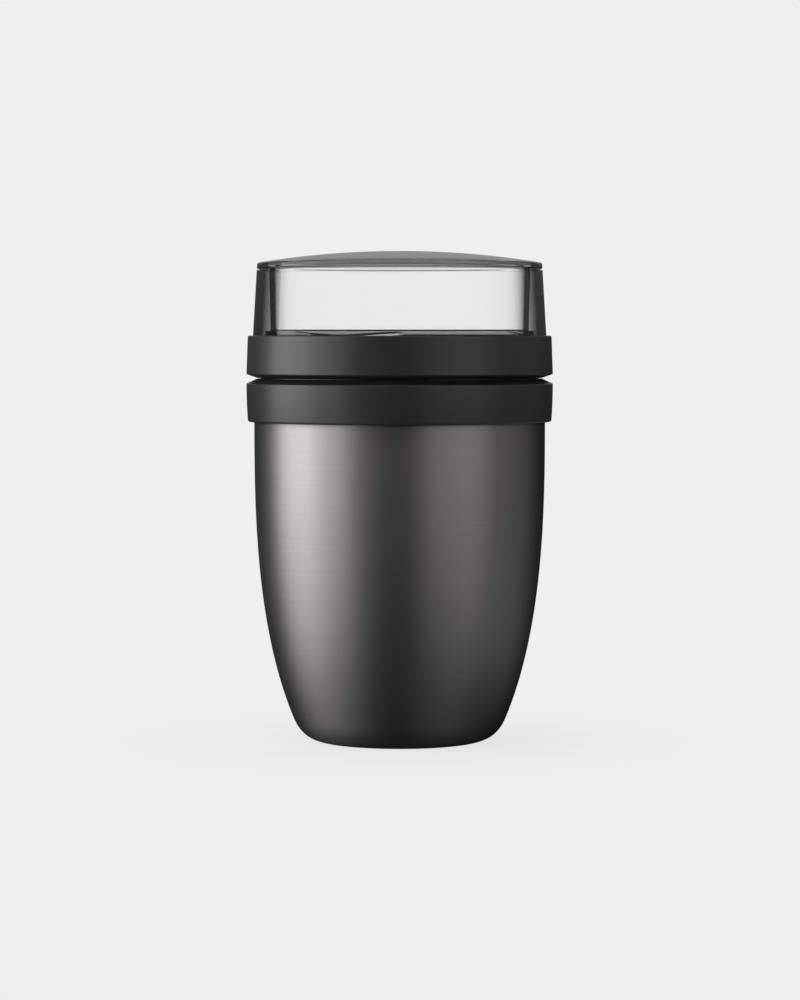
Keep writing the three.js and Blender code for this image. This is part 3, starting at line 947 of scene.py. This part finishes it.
def sleeve_surface(level):
    """Sleeve: tapered outer wall, flat top under the cap, inner wall and threaded skirt."""
    clear, bore = level.clear, level.skirt_bore
    top = top_of("clear_sleeve")
    edge = level.clear_side(top)
    run = between(level.skirt, level.ring_top, SKIRT_ENDS)
    turn, flange_low = level.sleeve_thread()
    low = flange_low - clear.thread_rib - FIT
    relief = thread(clear, level.ring.thread_lead, low, turn, bore, run, inward=True)
    return lathe(
        (clear.sleeve_radius, level.skirt, EASED),
        (clear.sleeve_radius, level.ring_top, EASED),
        (edge, top, SOFT),
        (edge - clear.sleeve_wall, top, NEAT),
        (bore, level.ring_top, EASED),
        straight(bore, run[::-1], SHORT_THREAD_ROWS),
        (bore, level.skirt, FINE),
        closed=True, relief=relief,
    )


def cap_surface(level):
    """Cap: dome from below, a groove over the cup's rim, the flat edge on the sleeve, a rounded
    side and the dome from above."""
    clear = level.clear
    low, crown = foot_of("dome_cap"), top_of("dome_cap")
    under_crown = crown - clear.cap_plate
    catch_top = top_of("rim_seal") + FIT
    catch_outer = level.cup_rim + SLIDE_FIT
    catch_inner = level.cup_rim - clear.cup_wall - SLIDE_FIT
    rib_inner = catch_inner - clear.cap_rib
    spread = np.linspace(0, DOME_REACH, DOME_ROWS) ** DOME_SPREAD
    r_under = rib_inner * spread
    r_over = (level.cap_radius - clear.cap_round) * spread[::-1]
    return lathe(
        corners_of(r_under, level.dome(under_crown, r_under)),
        (rib_inner, level.dome(under_crown, rib_inner), SOFT),
        (rib_inner, low, EASED),
        (catch_inner, low, EASED),
        (catch_inner, catch_top, FINE),
        (catch_outer, catch_top, FINE),
        (catch_outer, low, EASED),
        (level.clear_side(low), low, SOFT),
        (level.cap_radius, level.cap_edge, clear.cap_round),
        corners_of(r_over, level.dome(crown, r_over)),
    )


# Operators


class BOWL_OT_shell(bpy.types.Operator):
    """Builds the brushed steel shell"""

    bl_idname = "bowl.shell"
    bl_label = "Shell"

    def execute(self, context):
        level = Levels(context.scene)
        finish = brushed_steel(context.scene.bowl_finish)
        piece("shell_brushed", shell_surface(level), finish, "outer_shell", "pot")
        return {"FINISHED"}


class BOWL_OT_inside(bpy.types.Operator):
    """Builds the liner, the base plate, the seal button and the getter"""

    bl_idname = "bowl.inside"
    bl_label = "Liner and base"

    def execute(self, context):
        level = Levels(context.scene)
        tone = context.scene.bowl_finish
        sheet = plain_steel("liner_steel", tone.liner, 0.32, 40.0)
        button = plain_steel("button_metal", tone.button, 0.45, 300.0)
        pellet = plain_steel("getter_metal", tone.getter, 0.6, 300.0)
        piece("liner_steel", liner_surface(level), sheet, "inner_liner", "pot")
        piece("base_plate_steel", plate_surface(level), sheet, "base_plate", "pot")
        piece("seal_button", button_surface(), button, "vacuum_seal_button", "pot")
        piece("getter_pellet", getter_surface(), pellet, "getter", "pot")
        return {"FINISHED"}


class BOWL_OT_rings(bpy.types.Operator):
    """Builds the collar and the lid with its plug cap"""

    bl_idname = "bowl.rings"
    bl_label = "Collar and lid"

    def execute(self, context):
        level = Levels(context.scene)
        black = black_plastic(context.scene.bowl_finish)
        piece("collar_ring", collar_surface(level), black, "collar", "pot")
        piece("lid_shell", lid_surface(level), black, "lid_body", "lid")
        piece("plug_cap_disc", plug_cap_surface(), black, "plug_cap", "lid")
        return {"FINISHED"}


class BOWL_OT_seals(bpy.types.Operator):
    """Builds the gaskets, the seals and the foam disc"""

    bl_idname = "bowl.seals"
    bl_label = "Seals and foam"

    def execute(self, context):
        level = Levels(context.scene)
        tone = context.scene.bowl_finish
        grey = silicone("grey_silicone", tone.grey)
        milky = silicone("milky_silicone", tone.milky, 0.5)
        rim = level.cup_rim - level.clear.cup_wall
        rows = (
            ("collar_gasket", level.neck_bore, grey, "pot", "grey_silicone"),
            ("lid_seal", level.mouth, grey, "lid_gasket", "grey_silicone"),
            ("cup_gasket", level.cup_low + FIT, grey, "lid", "grey_silicone"),
            ("rim_seal", rim, milky, "rim_gasket", "clear_silicone"),
        )
        for node, inner, finish, body, slot in rows:
            piece(node + "_ring", seal_surface(node, inner), finish, node, body)
        piece("lid_foam", foam_surface(), foam(tone.foam), "lid_insulation", "lid")
        return {"FINISHED"}


class BOWL_OT_clear(bpy.types.Operator):
    """Builds the clear cup, sleeve and cap"""

    bl_idname = "bowl.clear"
    bl_label = "Cup, sleeve and cap"

    def execute(self, context):
        level = Levels(context.scene)
        tone = context.scene.bowl_finish
        # Painted shade: bands of radii where the walls darken when seen along their length, and the cup's
        # flange, painted darker from every side
        wall = (level.cup_high - level.clear.cup_wall / 2, level.cup_rim + BAND_BLUR)
        flange = ((level.cup_rim + level.flange_root) / 2, tone.flange)
        rim = (level.cup_rim, EVERYWHERE[1])
        cup = clear_plastic(
            "clear_cup", tone.clear, tone.cup_edge_shade, CUP_SHADE_FADE, wall, WALL_GLOSS, CUP_INDEX, flange,
        )
        sleeve = clear_plastic(
            "clear_sleeve", tone.clear, tone.sleeve_edge_shade, SLEEVE_SHADE_FADE, EVERYWHERE, WALL_GLOSS,
        )
        cap = clear_plastic("clear_cap", tone.clear, tone.cap_edge, CAP_SHADE_FADE, rim)
        piece("cup_clear", cup_surface(level), cup, "snack_cup", "cup")
        piece("sleeve_clear", sleeve_surface(level), sleeve, "clear_sleeve", "sleeve")
        piece("cap_clear", cap_surface(level), cap, "dome_cap", "cap")
        return {"FINISHED"}


def softbox(name, azimuth, height, distance, size, aim, watts):
    """An area lamp on a circle round the bowl. Azimuth is from the camera's side, to the right."""
    data = bpy.data.lights.new(name, "AREA")
    data.shape = "RECTANGLE"
    data.size, data.size_y = size
    data.energy = watts
    lamp = bpy.data.objects.new(name, data)
    a = math.radians(azimuth)
    lamp.location = (distance * math.sin(a), -distance * math.cos(a), height)
    lamp.rotation_euler = (Vector((0.0, 0.0, aim)) - lamp.location).to_track_quat("-Z", "Y").to_euler()
    lamp.visible_camera = lamp.visible_transmission = False
    bpy.context.scene.collection.objects.link(lamp)


class BOWL_OT_stage(bpy.types.Operator):
    """Builds the backdrop, the floor, the dark cloth that emits painted reflections, the softboxes and
    the camera
    """

    bl_idname = "bowl.stage"
    bl_label = "Stage"

    def execute(self, context):
        scene, stage = context.scene, context.scene.bowl_stage
        scene.view_settings.view_transform = "Standard"
        self.backdrop(scene, stage)
        self.floor(stage)
        self.surround(stage, scene.bowl_pot)
        for name, *place in LAMPS:
            softbox(name + "_softbox", *place, getattr(stage, name + "_power"))
        data = bpy.data.cameras.new("camera")
        data.lens, data.sensor_width = CAMERA_LENS, CAMERA_SENSOR
        data.clip_start, data.clip_end = CAMERA_CLIP
        camera = bpy.data.objects.new("camera", data)
        camera.location = CAMERA_PLACE
        camera.rotation_euler = (math.radians(90.0 - CAMERA_PITCH), 0.0, 0.0)
        scene.collection.objects.link(camera)
        scene.camera = camera
        return {"FINISHED"}

    def seen(self, graph):
        """1 for rays that show the backdrop: straight from the camera, in gloss and through glass."""
        camera, gloss, glass = (
            graph.node("ShaderNodeLightPath", output=f"Is {kind} Ray")
            for kind in ("Camera", "Glossy", "Transmission")
        )
        return camera.largest(gloss).largest(glass)

    def backdrop(self, scene, stage):
        """A pale backdrop for the rays that show it, and an even light for the others."""
        graph = Graph(bpy.data.worlds.new("backdrop"))
        pale = graph.node("ShaderNodeBackground", {}, {"Color": opaque(stage.backdrop), "Strength": 1.0})
        light = graph.node("ShaderNodeBackground", {}, {"Color": WHITE, "Strength": stage.ambient})
        both = graph.mix(self.seen(graph), light, pale)
        scene.world = graph.close(both, "ShaderNodeOutputWorld")

    def floor(self, stage):
        """A wide disc whose lit share fades out from the bowl, so that it keeps the shadow and has
        no edge against the backdrop. From below it is clear."""
        graph = new_finish("floor")
        pale = graph.node("ShaderNodeEmission", {}, {"Color": opaque(stage.backdrop)})
        matte = graph.node("ShaderNodeBsdfDiffuse", {}, {"Color": opaque(stage.backdrop)})
        near = (1.0 - graph.reach().step(*SHADOW_FADE)) * SHADOW_SHARE
        above = graph.mix(self.seen(graph), matte, graph.mix(near, pale, matte))
        below = graph.node("ShaderNodeNewGeometry", output="Backfacing")
        material = graph.close(graph.mix(below, above, graph.node("ShaderNodeBsdfTransparent")))
        rings = FLOOR_RADIUS * np.linspace(1, 0, FLOOR_ROWS) ** 2
        model("floor", lathe(corners_of(rings, -FLOOR_SINK), sides=STAGE_SIDES), material)

    def surround(self, stage, pot):
        """Dark cloth round the table and over it, which only reflections show: it emits a painted
        reflection. Painted light on it stands in for the table lit beside the bowl, on the left and the
        right, and further out under the key softbox, and painted shade darkens its foot. The cloth is
        open under the base plate."""
        graph = new_finish("dark_cloth")
        across, along, height = (graph.axis(name) for name in "XYZ")
        # Painted shade: the cloth's colour darkens towards its foot
        up = height.step(*CLOTH_FADE)
        cloth = graph.blend(up, opaque(stage.surround, CLOTH_LOW_SHADE), opaque(stage.surround))
        # Painted light: lit patches of table in the cloth's colour, near the bowl and further out under
        # the key softbox
        left = across.step(*GLOW_LEFT) * along.step(*GLOW_FRONT)
        right = across.step(*GLOW_RIGHT)
        near = 1.0 - graph.reach().step(*GLOW_FADE)
        far = across.step(*FAR_LEFT) * along.step(*FAR_FRONT) * height.step(*TABLE_HEIGHT)
        lit = (left * stage.left_painted_glow + right * stage.right_painted_glow) * near + far * stage.far_painted_glow
        # Painted reflection: the cloth emits its dark colour and the painted light of the table
        painted_reflection = graph.node("ShaderNodeEmission", {}, {"Color": graph.blend(lit, cloth, WHITE)})
        hidden = graph.node("ShaderNodeBsdfTransparent")
        bounced = graph.node("ShaderNodeLightPath", output="Glossy Depth").step(*BOUNCED)
        surface = lathe(
            (CLOTH_RADIUS, CLOTH_TOP, 0),
            (CLOTH_RADIUS, CLOTH_FOOT, CLOTH_BEND),
            (pot.foot_radius - pot.foot_width, CLOTH_FOOT, 0),
            sides=STAGE_SIDES,
        )
        made = model("dark_cloth", surface, graph.close(graph.mix(bounced, hidden, painted_reflection)))
        for kind in ("camera", "diffuse", "volume_scatter", "shadow"):
            setattr(made, "visible_" + kind, False)


class BOWL_PT_panel(bpy.types.Panel):
    """The bowl's steps and settings in the 3D view's sidebar"""

    bl_idname = "BOWL_PT_panel"
    bl_label = "Insulated lunch bowl"
    bl_space_type = "VIEW_3D"
    bl_region_type = "UI"
    bl_category = "Bowl"

    def draw(self, context):
        for operator in OPERATORS:
            self.layout.operator(operator.bl_idname)
        for name, group in GROUPS.items():
            settings = getattr(context.scene, name)
            box = self.layout.box()
            for key in group.__annotations__:
                box.prop(settings, key)


OPERATORS = (
    BOWL_OT_stage, BOWL_OT_shell, BOWL_OT_inside, BOWL_OT_rings, BOWL_OT_seals, BOWL_OT_clear,
)
GROUPS = {
    "bowl_pot": PotSizes,
    "bowl_ring": RingSizes,
    "bowl_clear": ClearSizes,
    "bowl_finish": Finishes,
    "bowl_stage": StageSettings,
}


def register():
    for group in (*GROUPS.values(), *OPERATORS, BOWL_PT_panel):
        bpy.utils.register_class(group)
    for name, group in GROUPS.items():
        setattr(bpy.types.Scene, name, bpy.props.PointerProperty(type=group))


def unregister():
    for name in GROUPS:
        delattr(bpy.types.Scene, name)
    for group in (BOWL_PT_panel, *OPERATORS[::-1], *reversed(GROUPS.values())):
        bpy.utils.unregister_class(group)


def main():
    register()
    bpy.ops.bowl.stage()
    bpy.ops.bowl.shell()
    bpy.ops.bowl.inside()
    bpy.ops.bowl.rings()
    bpy.ops.bowl.seals()
    bpy.ops.bowl.clear()


if __name__ == "__main__":
    main()
